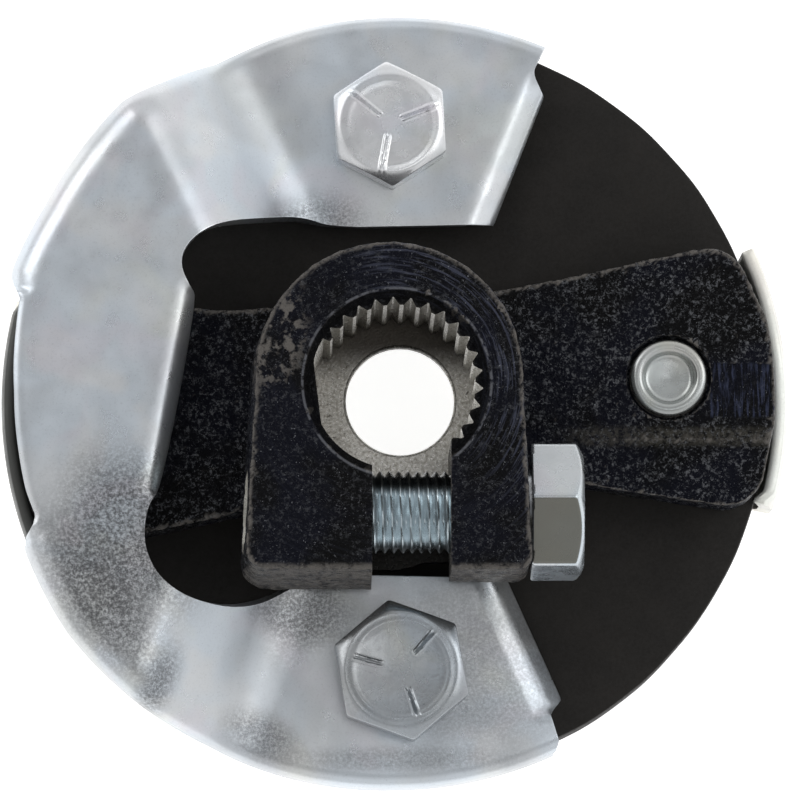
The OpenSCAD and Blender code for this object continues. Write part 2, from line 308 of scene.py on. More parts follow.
# --- materials
class Graph:
    """Short names for the nodes that the finishes below use. Lengths are millimetres."""

    def __init__(self, name):
        self.material = bpy.data.materials.new(name)
        self.material.use_nodes = True
        self.tree = self.material.node_tree
        self.tree.nodes.clear()
        out = self.tree.nodes.new("ShaderNodeOutputMaterial")
        self.shader = self.tree.nodes.new("ShaderNodeBsdfPrincipled")
        self.tree.links.new(self.shader.outputs[0], out.inputs[0])
        self.place = self.tree.nodes.new("ShaderNodeTexCoord").outputs["Object"]
        self.mm = self.scaled(1000, 1000, 1000)

    def put(self, socket, value):
        if isinstance(value, bpy.types.NodeSocket):
            self.tree.links.new(value, socket)
        elif isinstance(value, tuple) and len(value) == 3 and len(socket.default_value) == 4:
            socket.default_value = (*value, 1)
        else:
            socket.default_value = value

    def scaled(self, x, y, z, shift=(0, 0, 0)):
        """Texture coordinates from the object's metres."""
        n = self.tree.nodes.new("ShaderNodeMapping")
        self.put(n.inputs["Vector"], self.place)
        n.inputs["Scale"].default_value = (x, y, z)
        n.inputs["Location"].default_value = shift
        return n.outputs[0]

    def noise(self, per_mm, detail=3, rough=0.55, warp=0.0, at=None):
        n = self.tree.nodes.new("ShaderNodeTexNoise")
        self.put(n.inputs["Vector"], at or self.mm)
        n.inputs["Scale"].default_value = per_mm
        n.inputs["Detail"].default_value = detail
        n.inputs["Roughness"].default_value = rough
        n.inputs["Distortion"].default_value = warp
        return n.outputs["Fac"]

    def step(self, value, low, high, to_low=0.0, to_high=1.0):
        """A smooth rise, or a fall where low is the larger."""
        n = self.tree.nodes.new("ShaderNodeMapRange")
        n.interpolation_type = "SMOOTHSTEP"
        self.put(n.inputs["Value"], value)
        n.inputs["From Min"].default_value = low
        n.inputs["From Max"].default_value = high
        n.inputs["To Min"].default_value = to_low
        n.inputs["To Max"].default_value = to_high
        return n.outputs["Result"]

    def window(self, value, a, b, c, d):
        """1 from b to c, falling to 0 at a and at d."""
        return self.times(self.step(value, a, b), self.step(value, d, c))

    def math(self, kind, a, b=0.0):
        n = self.tree.nodes.new("ShaderNodeMath")
        n.operation = kind
        self.put(n.inputs[0], a)
        self.put(n.inputs[1], b)
        return n.outputs[0]

    def plus(self, a, b):
        return self.math("ADD", a, b)

    def times(self, first, *others):
        for other in others:
            first = self.math("MULTIPLY", first, other)
        return first

    def most(self, a, b):
        return self.math("MAXIMUM", a, b)

    def mix(self, amount, a, b):
        n = self.tree.nodes.new("ShaderNodeMix")
        n.data_type = "RGBA"
        self.put(n.inputs[0], amount)
        self.put(n.inputs[6], a)
        self.put(n.inputs[7], b)
        return n.outputs[2]

    def axis(self, which, source=None):
        n = self.tree.nodes.new("ShaderNodeSeparateXYZ")
        self.put(n.inputs[0], source or self.mm)
        return n.outputs[which]

    def away(self, x, y):
        """Offsets from an upright axis."""
        return self.math("SUBTRACT", self.axis(0), x), self.math("SUBTRACT", self.axis(1), y)

    def radius(self, x, y):
        dx, dy = self.away(x, y)
        return self.math("SQRT", self.plus(self.times(dx, dx), self.times(dy, dy)))

    def polar(self, x, y, per_mm, per_turn):
        """Texture coordinates that run round an upright axis, for brush marks."""
        dx, dy = self.away(x, y)
        n = self.tree.nodes.new("ShaderNodeCombineXYZ")
        self.put(n.inputs[0], self.times(self.radius(x, y), per_mm))
        self.put(n.inputs[1], self.times(self.math("ARCTAN2", dy, dx), per_turn))
        return n.outputs[0]

    def spot(self, x, y, z, radius, soft, stretch=(1, 1, 1), turn=0):
        """1 inside a soft-edged blob round a point, else 0."""
        n = self.tree.nodes.new("ShaderNodeMapping")
        n.vector_type = "TEXTURE"
        self.put(n.inputs["Vector"], self.mm)
        n.inputs["Location"].default_value = (x, y, z)
        n.inputs["Rotation"].default_value = (0, 0, rad(turn))
        n.inputs["Scale"].default_value = stretch
        length = self.tree.nodes.new("ShaderNodeVectorMath")
        length.operation = "LENGTH"
        self.put(length.inputs[0], n.outputs[0])
        return self.step(length.outputs["Value"], radius, radius + soft, 1.0, 0.0)

    def edges(self, low, high):
        """1 on sharp outer edges."""
        n = self.tree.nodes.new("ShaderNodeNewGeometry")
        return self.step(n.outputs["Pointiness"], low, high)

    def facing(self, low, high):
        """How far the surface looks along +Z."""
        n = self.tree.nodes.new("ShaderNodeNewGeometry")
        return self.step(self.axis(2, n.outputs["Normal"]), low, high)

    def bump(self, height, distance, strength=1.0, under=None):
        n = self.tree.nodes.new("ShaderNodeBump")
        n.inputs["Strength"].default_value = strength
        n.inputs["Distance"].default_value = distance * MM
        self.put(n.inputs["Height"], height)
        if under is not None:
            self.put(n.inputs["Normal"], under)
        return n.outputs[0]

    def done(self, colour, roughness, normal=None, **fixed):
        self.put(self.shader.inputs["Base Color"], colour)
        self.put(self.shader.inputs["Roughness"], roughness)
        if normal is not None:
            self.put(self.shader.inputs["Normal"], normal)
        for key, value in fixed.items():
            self.put(self.shader.inputs[key.replace("_", " ")], value)
        return self.material


# Linear colours of the finishes.
PAINT, PAINT_BLUE = (0.0020, 0.0020, 0.0023), (0.0028, 0.0033, 0.0070)
PAINT_DEEP = (0.0015, 0.0015, 0.0015)
BRUSH_SHEEN, DRAWN, SPECK_GLINTS = (0.040, 0.044, 0.064), (0.035, 0.042, 0.075), (0.098, 0.102, 0.110)
RUBBED, GLINT = (0.075, 0.070, 0.058), (0.26, 0.27, 0.29)
WORN_AND_LIT, WORN_LIP = (0.125, 0.116, 0.106), (0.14, 0.145, 0.16)
STEEL_FLOOR, STEEL_WALL, STEEL_STREAK = (0.76, 0.74, 0.69), (0.68, 0.66, 0.60), (0.26, 0.22, 0.17)
STEEL_PIT, SHADE_DARK = (0.06, 0.055, 0.05), (0.012, 0.010, 0.008)
SHADE_BROWN, SHADED = (0.055, 0.045, 0.033), (0.10, 0.09, 0.07)
ZINC_PIT, OLIVE_REFLECTION = (0.03, 0.03, 0.03), (0.135, 0.132, 0.108)
THREAD_BLUE, SHADE_BLACK = (0.52, 0.60, 0.64), (0.012, 0.014, 0.014)
RUBBER_DARK, RUBBER_LIGHT = (0.0085, 0.0076, 0.0064), (0.0120, 0.0106, 0.0090)
DUST, THREADS = (0.35, 0.34, 0.31), (0.05, 0.045, 0.04)


def black_paint():
    """Brushed black paint on a rough casting, rubbed and chipped on its edges, with a painted sheen
    on the brush marks, painted glints, and painted light on the ears' -Y face.
    """
    g = Graph("black_paint")
    x, y, z = g.axis(0), g.axis(1), g.axis(2)
    lumps = g.noise(0.55, 3, 0.6)
    grit = g.noise(1.5, 4, 0.7)
    fine = g.noise(4.5, 3, 0.65)
    top = g.step(z, 22.8, 23.4)
    colour = g.mix(g.step(g.noise(0.12, 2, 0.5), 0.38, 0.58), PAINT, PAINT_BLUE)

    # Brush marks run round the bore on the top face, with a painted bluish sheen on them that is
    # strongest towards +X, +Y.
    right = g.step(g.plus(x, g.times(y, 0.7)), 0, 11, 0.08, 0.95)
    brushed = g.noise(1.0, 4, 0.7, 0.2, at=g.polar(BOSS_X, 0.0, 2.8, 2.2))
    colour = g.mix(g.times(g.step(brushed, 0.50, 0.62), top, right), colour, BRUSH_SHEEN)

    # Straight marks cross the smooth band at the right arm's end.
    band = g.times(g.step(x, 36.0, 36.6), g.window(y, -2.6, -2.0, 3.6, 4.2))
    drawn = g.noise(1.0, 3, 0.65, at=g.scaled(2600, 300, 300))
    colour = g.mix(g.times(band, g.step(drawn, 0.48, 0.66), 0.8), colour, DRAWN)

    # Painted glints: pale specks that stand in for light caught by the casting's lumps, fewer on
    # the two smoothed faces.
    speck = g.times(g.step(g.noise(2.1, 5, 0.8, 0.3), 0.52, 0.60), g.step(lumps, 0.32, 0.56))
    few = g.times(g.step(top, 0, 1, 1.0, 0.34), g.step(band, 0, 1, 1.0, 0.1))
    colour = g.mix(g.times(speck, few, 0.9), colour, SPECK_GLINTS)

    # The low ridge along the right arm is rubbed.
    ridge = g.times(g.step(x, 17, 24), g.window(y, -6.2, -5.2, -4.2, -3.0), g.step(z, 3.5, 4.5))
    colour = g.mix(g.times(ridge, g.step(g.noise(1.6, 4, 0.75), 0.36, 0.60), 0.5), colour, RUBBED)
    # Painted glints: fine bright specks on the grit, standing in for highlights.
    glint = g.times(g.step(g.noise(4.6, 3, 0.7), 0.63, 0.68), g.step(grit, 0.45, 0.6))
    colour = g.mix(g.times(glint, 0.8), colour, GLINT)

    # Worn edges and a chipped patch left of the bore, and painted light on the -Y face of the ears,
    # broken up by noise.
    edges = g.times(g.edges(0.514, 0.545), g.step(grit, 0.34, 0.52))
    foot = g.times(g.step(y, -20.4, -21.0), g.step(g.noise(0.9, 4, 0.75), 0.36, 0.58), 0.85)
    chips = g.times(g.spot(-14.8, 6.5, 22, 3.4, 2.4, (1, 1.6, 1.6)),
                    g.step(g.noise(0.9, 3, 0.6), 0.47, 0.6))
    colour = g.mix(g.times(g.most(edges, g.most(foot, chips)), 0.85), colour, WORN_AND_LIT)

    # The bore's mouth is darker inside, with a thin broken line of wear on its lip.
    r = g.radius(0, 0)
    colour = g.mix(g.times(g.step(r, 10.7, 10.4), g.step(z, 22.0, 22.6), 0.8), colour, PAINT_DEEP)
    from_lip = g.math("ABSOLUTE", g.math("SUBTRACT", r, 10.75))
    broken = g.step(g.noise(0.9, 3, 0.6), 0.40, 0.56)
    colour = g.mix(g.times(g.step(from_lip, 0.22, 0.05), top, broken, 0.6), colour, WORN_LIP)

    rough = g.step(g.noise(0.8, 3, 0.6), 0.3, 0.7, 0.20, 0.40)
    height = g.plus(g.times(grit, 0.75), g.times(fine, 0.25))
    normal = g.bump(height, 0.5, 1.0, g.bump(lumps, 0.25, 0.6))
    return g.done(colour, rough, normal, Specular_IOR_Level=0.055)


def bare_steel():
    """Broached steel with streaks along the bore, and painted shade on the floor, in the slot and
    up the +Y and -X sides.
    """
    g = Graph("bare_steel")
    x, y, z = g.axis(0), g.axis(1), g.axis(2)
    streaks = g.noise(1.0, 3, 0.6, at=g.scaled(2600, 2600, 350))
    pits = g.step(g.noise(1.5, 4, 0.7, 0.5), 0.62, 0.70)
    base = g.mix(g.step(z, 0.2, 1.6), STEEL_FLOOR, STEEL_WALL)
    colour = g.mix(g.times(g.step(streaks, 0.45, 0.7), 0.6), base, STEEL_STREAK)
    colour = g.mix(g.times(pits, 0.8), colour, STEEL_PIT)
    # Painted shade: the floor darkens towards +Y and in the slot beyond the bolt, the +Y side goes
    # darker and browner, and the -X side darker.
    ends = g.most(g.step(y, 1.5, 7.0, 0, 0.93), g.step(y, -16.0, -17.5))
    colour = g.mix(g.times(ends, g.step(z, 3.0, 0.5)), colour, SHADE_DARK)
    colour = g.mix(g.step(y, 1.0, 9.0, 0, 0.6), colour, SHADE_BROWN)
    colour = g.mix(g.step(x, -4.0, -7.0, 0, 0.35), colour, SHADED)
    rough = g.step(streaks, 0.3, 0.7, 0.24, 0.42)
    height = g.plus(g.times(streaks, 0.6), g.times(g.noise(2.5, 3, 0.6), 0.4))
    return g.done(colour, rough, g.bump(height, 0.08, 0.8), Metallic=0.65)


def zinc(name, colour, dark, rough=(0.27, 0.35), metallic=0.86, shade_patches=(), grain=0.30, masks=()):
    """Zinc plate: faint blue, pink and straw patches, pepper grain, pits, and patches of painted
    shade broken up like stains.
    Each of masks is a function of the graph that says where, an amount and a colour."""
    g = Graph(name)
    red, green, blue = colour
    speck = g.noise(3.4, 5, 0.85)
    tone = colour
    for scale, shift, low, amount, tint in (
            (0.085, 0, 0.40, 0.50, (red * 0.86, green * 0.955, blue * 1.05)),
            (0.120, 31, 0.50, 0.40, (red * 0.98, green * 0.90, blue * 0.95)),
            (0.100, 63, 0.54, 0.40, (red, green * 0.985, blue * 0.86)),
            (0.055, 95, 0.46, 0.60, (red * 0.72, green * 0.73, blue * 0.74))):
        patch = g.noise(scale, 2, 0.5, 0.5, at=g.scaled(1000, 1000, 1000, (shift, 7, shift)))
        tone = g.mix(g.times(g.step(patch, low, low + 0.16), amount), tone, tint)
    tone = g.mix(g.times(g.step(speck, 0.50, 0.76), grain), tone, dark)
    pits = g.step(g.noise(1.1, 4, 0.85, at=g.scaled(1000, 1000, 1000, (5, 50, 9))), 0.765, 0.78)
    tone = g.mix(g.times(pits, 0.7), tone, ZINC_PIT)
    # Patches of painted shade, broken up by noise.
    for x, y, z, radius, edge, stretch, turn, strength in shade_patches:
        mask = g.spot(x, y, z, radius, edge, stretch, turn)
        broken = g.times(mask, g.step(g.noise(2.6, 5, 0.85), 0.30, 0.62))
        tone = g.mix(g.times(broken, strength), tone, dark)
    for where, amount, tint in masks:
        tone = g.mix(g.times(where(g), amount), tone, tint)
    gloss = g.step(g.noise(0.35, 3, 0.55), 0.3, 0.7, rough[0], rough[1])
    height = g.plus(g.times(speck, 0.5), g.times(g.noise(0.9, 3, 0.6), 0.5))
    normal = g.bump(height, 0.030, 0.5, g.bump(g.noise(0.14, 2, 0.5), 0.25, 0.5))
    return g.done(tone, gloss, normal, Metallic=metallic)


def rubber():
    """Dusty rubber that shows the threads of its fabric on the cut side."""
    g = Graph("rubber")
    cloud = g.noise(0.2, 3, 0.6)
    grain = g.noise(3.0, 4, 0.7)
    colour = g.mix(g.step(cloud, 0.3, 0.7), RUBBER_DARK, RUBBER_LIGHT)
    dust = g.step(g.noise(2.0, 5, 0.9, 0.3, at=g.scaled(1000, 1000, 1000, (3, 8, 1))), 0.72, 0.75)
    colour = g.mix(g.times(dust, 0.8), colour, DUST)
    weave = g.noise(1.0, 2, 0.5, at=g.scaled(1200, 1200, 9000))
    side = g.step(g.facing(0.5, 0.9), 0, 1, 1, 0)
    colour = g.mix(g.times(side, g.step(weave, 0.5, 0.7)), colour, THREADS)
    normal = g.bump(g.plus(g.times(grain, 0.6), g.times(weave, 0.4)), 0.06, 0.5)
    return g.done(colour, g.step(grain, 0.3, 0.7, 0.55, 0.75), normal, Specular_IOR_Level=0.22)


def olive_reflection_face(g):
    """The face of the pinch bolt's head that looks up and a little to -Y, where an olive-grey
    reflection is painted.
    """
    n = g.tree.nodes.new("ShaderNodeNewGeometry").outputs["Normal"]
    return g.times(g.step(g.axis(1, n), -0.10, -0.25), g.step(g.axis(2, n), 0.72, 0.85))


def pinch_thread(g):
    # The thread is lighter and bluer than the head.
    return g.step(g.axis(0), 9.0, 8.0)


def slot_dark_reflection(g):
    """Painted dark reflection on both sides of the thread's crest line, where the bolt crosses the
    slot.
    """
    seen = g.times(g.window(g.axis(0), -3.4, -2.6, 6.2, 7.0), g.step(g.axis(2), 12.5, 14.5))
    return g.times(seen, g.most(g.step(g.axis(1), -12.6, -11.0), g.step(g.axis(1), -17.3, -18.6)))


def shaded_left_lip(g):
    # Painted shade on the top of the strap's left lip.
    return g.times(g.step(g.axis(0), -30, -34), g.step(g.axis(2), -4.5, -2.5))


# Patches of painted shade on the plate, where the sheet and its ramps catch less light, broken up
# like stains: centre x, y, z, radius, width of the soft edge, stretch, turn, strength.
SHADE_PATCHES = (
    (-9.5, 19.5, 3, 2.2, 3.5, (1.5, 1, 3), 20, 0.70),
    (-11.0, -24.0, 3, 2.2, 3.6, (1.6, 1, 3), -20, 0.75),
    (-30.0, -16.5, 11, 3.6, 7.5, (1.3, 1, 3), -60, 0.92),
    (-34.0, -24.0, 9, 1.6, 4.5, (1, 2.6, 3), 35, 0.92),
    (-27.5, -33.5, 8, 0.6, 2.4, (1, 2.6, 3), -25, 0.80),
    (-15.5, -39.0, 2, 0.8, 3.0, (1.8, 1, 3), -25, 0.70),
    (-11.0, -26.0, 2, 0.6, 3.5, (1.2, 2, 3), -25, 0.50),
    (9.0, -31.0, 2, 5.0, 9.0, (1.2, 1, 3), 0, 0.45),
    (0.0, -41.8, 2, 0.5, 1.6, (9, 1, 3), 0, 0.45),
)
BRIGHT = (0.20, 0.32)
M_PAINT = black_paint()
M_STEEL = bare_steel()
M_SHEET = zinc("zinc_sheet", (0.655, 0.675, 0.690), (0.075, 0.075, 0.078), shade_patches=SHADE_PATCHES,
               grain=0.26)
M_BOLT = zinc("zinc_bolt", (0.74, 0.75, 0.76), (0.20, 0.20, 0.20), BRIGHT)
# A darker copy of the bolts' zinc, with more grain: painted shade on the lower, large bolt.
M_LARGE_SHADED = zinc("zinc_large_shaded", (0.42, 0.435, 0.445), (0.10, 0.10, 0.10), BRIGHT, grain=0.5)
M_PINCH = zinc("pinch_zinc", (0.50, 0.525, 0.54), (0.18, 0.18, 0.18), BRIGHT, masks=(
    (olive_reflection_face, 0.9, OLIVE_REFLECTION), (pinch_thread, 0.9, THREAD_BLUE), (slot_dark_reflection, 0.93, SHADE_BLACK)))
M_STRAP = zinc("strap_zinc", (0.82, 0.80, 0.72), (0.30, 0.28, 0.24), (0.30, 0.45), 0.5, grain=0.4,
               masks=((shaded_left_lip, 0.93, SHADE_BLACK),))
M_PIN = zinc("pin_zinc", (0.47, 0.475, 0.45), (0.26, 0.26, 0.24), (0.20, 0.34), 0.8)
M_RUBBER = rubber()


# --- the clamp hub
def casting_solids():
    """The boss with its two ears, its broad foot, and the two arms, as plain overlapping solids."""
    crown = arc(BOSS_X, BOSS_Y, BOSS_R, 0, 180, 48)
    ears = crown + arc(-14.9, -19.1, 2.2, 180, 270, 8) + arc(13.8, -19.7, 1.6, 270, 360, 8)
    foot = crown + [(-17.1, -16.4), (-14.9, -18.6), (13.8, -18.6), (15.4, -17)]
    arm = ([(0, -11), (20, -11.4)] + arc(37.5, -10.6, 4.6, 260, 345, 10) + arc(0, 0, 44, -8, 8, 10)
           + arc(37, 10, 4.8, 15, 100, 10) + [(19, 12.2), (12, 11.4), (0, 11.4)])
    parts = [prism("ears", ears, 5.5, HUB_TOP), prism("foot", foot, DISC_TOP, 6.6)]
    for turn in (0, 180):
        parts.append(moved(prism("arm", arm, DISC_TOP, ARM_TOP), place(turn=ARM_CLOCK + turn)))
    return joined("hub", parts)


def read_points(mesh, attribute):
    values = np.empty(len(mesh.vertices) * 3, np.float32)
    mesh.vertices.foreach_get(attribute, values)
    return values.reshape(-1, 3).astype(float)


def casting():
    """The solids run together by a remesh, with a cast skin, draft and the right arm's ridge."""
    body = casting_solids()
    mod = body.modifiers.new("cast", "REMESH")
    mod.mode = "VOXEL"
    mod.voxel_size = 0.34 * MM
    mod = body.modifiers.new("soft", "SMOOTH")
    mod.factor = 0.5
    mod.iterations = 4
    apply_all(body)
    mesh = body.data
    co = read_points(mesh, "co") / MM
    no = read_points(mesh, "normal")
    up = np.clip(no[:, 2], 0, 1)

    # Cast skin, coarser on the arms, nearly smooth on the band at the right arm's end.
    rough = np.array([noise.fractal(Vector(p * 0.55), 0.6, 2.2, 5) for p in co])
    pebble = np.array([noise.noise(Vector(p * 1.6 + 40)) for p in co])
    on_arm = smooth(16.5, 18, np.abs(co[:, 0])) * up
    machined = (smooth(36.2, 36.8, co[:, 0]) * smooth(-2.4, -1.9, co[:, 1])
                * smooth(4.0, 3.5, co[:, 1]) * up)
    amount = (0.10 + 0.06 * on_arm) * (1 - 0.85 * machined)
    co += no * (amount * rough + 0.05 * pebble * (1 - machined))[:, None]

    # Casting draft on the left ear's end and on the boss's left side.
    depth = np.clip(HUB_TOP - co[:, 2], 0, 18.5) * math.tan(rad(3.4))
    co[:, 1] -= depth * smooth(-17.2, -18.4, co[:, 1]) * (1 - 0.8 * smooth(0, 4, co[:, 0]))
    co[:, 0] -= depth * smooth(-13.5, -15.2, co[:, 0]) * smooth(7.5, 8.5, co[:, 2]) * 0.8

    # The right arm has a low ridge, and falls away in front of it.
    right = smooth(16, 17, co[:, 0]) * smooth(0.5, 3, co[:, 2])
    fall = smooth(-4.9, -6.4, co[:, 1]) * smooth(20, 27, co[:, 0])
    ridge = smooth(-3.4, -4.4, co[:, 1]) * smooth(-5.9, -5.0, co[:, 1]) * smooth(20, 25, co[:, 0])
    co[:, 2] += right * up * (0.22 * ridge - 0.55 * fall - 0.12 * machined)
    mesh.vertices.foreach_set("co", (co * MM).astype(np.float32).ravel())
    mesh.update()
    mesh.materials.clear()
    mesh.materials.append(M_PAINT)
    mesh.materials.append(M_STEEL)
    return body


def bore_loop():
    """The serrated bore seen along its axis: seventeen grooves, a locating flat, a plain arc."""
    def at(r, a):
        return r * math.cos(rad(a)), r * math.sin(rad(a))

    pts = []
    for i in range(17):
        a = -51.6 + 12 * i
        for da, r in ((-5.2, LAND_R), (-4.5, LAND_R), (-0.45, GROOVE_R), (0.45, GROOVE_R),
                      (4.5, LAND_R), (5.2, LAND_R)):
            pts.append(at(r, a + da))
    pts.append(at(LAND_R, 148))
    flat_from_axis, flat_faces = 9.1, 187
    for a in range(149, 259, 3):
        pts.append(at(min(GROOVE_R, flat_from_axis / max(math.cos(rad(a - flat_faces)), 0.2)), a))
    pts.append(at(LAND_R, 258))
    pts += [at(LAND_R, a) for a in range(264, 303, 5)]
    return np.array(pts)


across = Matrix.Translation((0, PINCH_Y * MM, PINCH_Z * MM)) @ Matrix.Rotation(rad(90), 4, "Y")


def hub():
    above = HUB_TOP + 2
    body = casting()
    cut(body, coloured(prism("bore", bore_loop(), 0, above), M_STEEL))
    mouth = lathe("mouth", [(0, HUB_TOP - 1.15), (9.55, HUB_TOP - 1.15), (10.3, HUB_TOP - 0.3),
                            (10.9, HUB_TOP + 0.3), (11.2, above), (0, above)], 120)
    cut(body, coloured(mouth, M_PAINT))
    through = lathe("through", [(0, -6), (HOLE_R, -6), (HOLE_R, -0.35), (HOLE_R + 0.3, 0.02),
                                (HOLE_R + 0.3, 0.5), (0, 0.5)], 96)
    cut(body, coloured(moved(through, place(HOLE_X)), M_STEEL))
    left, right = SLOT_X
    slot = [(left, -30), (right, -30), (right, -6), (left, -6)]
    cut(body, coloured(prism("slot_floor", slot, -0.02, 1.0), M_STEEL))
    cut(body, coloured(prism("slot", slot, 0.5, above), M_PAINT))
    tapped = lathe("tapped", [(0, -30), (4.8, -30), (4.8, 5), (0, 5)], 64)
    cut(body, coloured(moved(tapped, across), M_STEEL))
    clear = lathe("clear", [(0, 0), (5.1, 0), (5.1, 30), (0, 30)], 64)
    cut(body, coloured(moved(clear, across), M_STEEL))
    for turn in (0, 180):
        well = lathe("well", [(0, -6), (4.4, -6), (4.4, ARM_TOP - 1.4), (4.8, ARM_TOP - 1.4),
                              (4.85, ARM_TOP - 0.2), (5.1, ARM_TOP + 0.1), (5.3, ARM_TOP + 2),
                              (0, ARM_TOP + 2)], 72)
        cut(body, coloured(moved(well, on_circle(ARM_CLOCK + turn)), M_PAINT))
    return body


finish_piece(hub(), 40, "hub_casting", "hub", "hub_flange")


# --- the safety plate
# Outline points. The rim is angle and radius about the coupling's axis. The two ends are in
# the coupling's frame too, and the openings in the plate's own frame.
RIM = ((66, 45.0), (90, 44.9), (105, 44.8), (118, 44.4), (127, 45.4), (133, 46.3), (143, 46.0),
       (152, 45.9), (162, 46.4), (163.9, 46.0), (165, 45.2), (166, 44.6), (171, 44.3), (180, 43.9),
       (189, 43.9), (195, 44.0), (199, 43.8), (200.4, 44.5), (201.5, 45.8), (203, 46.2),
       (216, 46.6), (224, 46.4), (231, 46.2), (242, 45.5), (255, 45.4), (270, 45.1), (295, 45.0))
UPPER_END = ((17.4, 41.2), (16.2, 38.6), (16.3, 37.8), (17.4, 35.6), (11.5, 20.5))
LOWER_END = ((13.1, -20.8), (19.2, -34.3), (19.3, -34.8), (18.0, -36.5), (18.6, -38.4),
             (19.0, -39.7))
UPPER_OPENING = [(-6.5, 20.1), (-10.4, 21.6), (-15, 21.1), (-19.5, 20.4), (-22.8, 18.6),
                 (-24.3, 16.6), (-24.4, 14.8), (-23.4, 12.6), (-22.6, 11.6)]
LOWER_OPENING = [(-27.2, -10.6), (-28.6, -12.2), (-29.2, -14.6), (-29.2, -17.4), (-27.9, -20.4),
                 (-25.4, -22.6), (-22.4, -23.7), (-19, -24.2), (-15.6, -23.6), (-11, -20.9),
                 (-6.5, -20.3)]
MOUTH_SIDE = [(12, -20.3), (12, 20.1)]
SKIRTED = ((64, 164.6), (201.2, 296))   # angles between which the rim is turned down
SKIRT_ENDS = (67.9, 294.2)


def rim_radius(a):
    return np.interp(a % 360, [k[0] for k in RIM], [k[1] for k in RIM])


def skirt_share(a):
    """1 where the rim is turned down, falling to 0 over about a millimetre at each end."""
    return sum(smooth(lo - 0.7, lo + 0.7, a) * smooth(hi + 0.7, hi - 0.7, a) for lo, hi in SKIRTED)


def angles(p):
    return np.degrees(np.arctan2(p[:, 1], p[:, 0])) % 360


def soft(x, e=0.3):
    """x where it is well above 0, and 0 where it is well below."""
    return (x + np.sqrt(x * x + e * e)) / 2


def rolled(inset, width, fullness):
    """0 to nearly 1 down a rounded edge that starts at the width from the outline."""
    k = np.clip(1 - inset / width, 0, 1)
    return 1 - np.sqrt(np.clip(1 - k * k * fullness, 0, 1))


def along(p, direction):
    return p[:, 0] * math.cos(rad(direction)) + p[:, 1] * math.sin(rad(direction))


def fold(u, start, run, foot=6.0, top=3.6):
    """Height along a fold: flat, a wide foot, a straight ramp, a tight top bend, flat."""
    slope = BRIDGE_RISE / (run - foot / 2 - top / 2)
    v = np.asarray(u, float) - start
    a = np.clip(v, 0, foot)
    b = np.clip(v - foot, 0, run - foot - top)
    c = np.clip(v - (run - top), 0, top)
    return slope * (a * a / (2 * foot) + b + c - c * c / (2 * top))


def plate_height(p):
    """Height of the sheet's upper face at points in the plate's frame."""
    world = turned(p, PLATE_CLOCK)
    x, y = world[:, 0], world[:, 1]
    z = np.minimum(fold(along(p, 204.4), -2.6, 16), fold(along(p, 158.8), 0.8, 17)) + PLATE_Z
    raised = (z - PLATE_Z) / BRIDGE_RISE
    inset = rim_radius(angles(world)) - np.hypot(x, y)
    share = skirt_share(angles(world))
    z = z - share * (1.5 + 1.2 * raised) * rolled(inset, 1.6 + 1.9 * raised, 0.985)
    k = np.clip(1 - inset / 0.9, 0, 1)
    z = z - (1 - share) * 0.25 * k * k

    # Both ends are bent down beside the disc, along lines that pass near their outlines.
    d = (11.5 - x) * 0.931 + (y - 20.5) * 0.364
    bend = 0.55 * soft(2.5 - d) + 1.6 * soft(0.3 - d, 0.15)
    z = z - smooth(14, 16, y) * smooth(38.6, 37.0, y) * bend
    d = (13.1 - x) * 0.912 - (y + 20.8) * 0.412
    bend = 0.47 * soft(3.9 - d) + 1.0 * soft(1.8 - d)
    z = z - smooth(-14, -16, y) * smooth(-37.4, -35.6, y) * bend

    # The bridge's inner edge is rolled down.
    inner_edge = np.array((UPPER_OPENING[-1], LOWER_OPENING[0]))
    return z - 2.4 * rolled(to_line(p, inner_edge[:1], inner_edge[1:]), 2.7, 0.98)


def plate_loop():
    """The outline in the plate's frame: rim, lower end, opening, upper end."""
    rim = [(rim_radius(a) * math.cos(rad(a)), rim_radius(a) * math.sin(rad(a)))
           for a in np.arange(67.0, 295.0, 0.6)]
    opening = rounded(UPPER_OPENING + LOWER_OPENING + MOUTH_SIDE, 0.45, 3)
    opening = opening[opening[:, 0] < -3.6]
    gap = np.argmax(np.hypot(*(np.roll(opening, -1, 0) - opening).T))
    loop = turned(rim, -PLATE_CLOCK).tolist() + turned(LOWER_END[::-1], -PLATE_CLOCK).tolist()
    loop += np.roll(opening, -gap - 1, 0)[::-1].tolist()
    loop += turned(UPPER_END[::-1], -PLATE_CLOCK).tolist()
    return spaced(loop, 0.42)


def flat_sheet(loop, holes):
    """Points and triangles inside the outline: rows that follow the edge, then an even grid."""
    def solid(p):
        return inside(p, loop) & ~inside(p, holes[0]) & ~inside(p, holes[1])

    loops = [loop] + holes
    starts = np.vstack(loops)
    ends = np.vstack([np.roll(k, -1, 0) for k in loops])
    xs, ys = np.meshgrid(np.arange(-47, 24, 0.72), np.arange(-47, 48, 0.62))
    xs = xs + (np.arange(len(xs)) % 2)[:, None] * 0.36
    grid = np.column_stack([xs.ravel(), ys.ravel()])
    grid = grid[solid(grid)]
    grid = grid[to_line(grid, starts, ends) > 2.5]
    rows = [grid]
    tangent = np.roll(loop, -1, 0) - np.roll(loop, 1, 0)
    normal = np.column_stack([-tangent[:, 1], tangent[:, 0]]) / np.hypot(*tangent.T)[:, None]
    if not inside(loop[:1] + normal[:1] * 0.3, loop)[0]:
        normal = -normal
    for d in (0.12, 0.32, 0.6, 0.95, 1.35, 1.8, 2.3):
        ring = loop + normal * d
        rows.append(ring[inside(ring, loop) & (to_line(ring, starts, ends) > d * 0.93)])
    edges, base = [], 0
    for k in loops:
        edges += [(base + i, base + (i + 1) % len(k)) for i in range(len(k))]
        base += len(k)
    points = [Vector(p) for p in np.vstack([starts] + rows)]
    out = delaunay_2d_cdt(points, edges, [], 0, 1e-5)
    flat = np.array([tuple(v) for v in out[0]])
    tris = np.array([tuple(f) for f in out[2]])
    return flat, tris[solid(flat[tris].mean(1))]


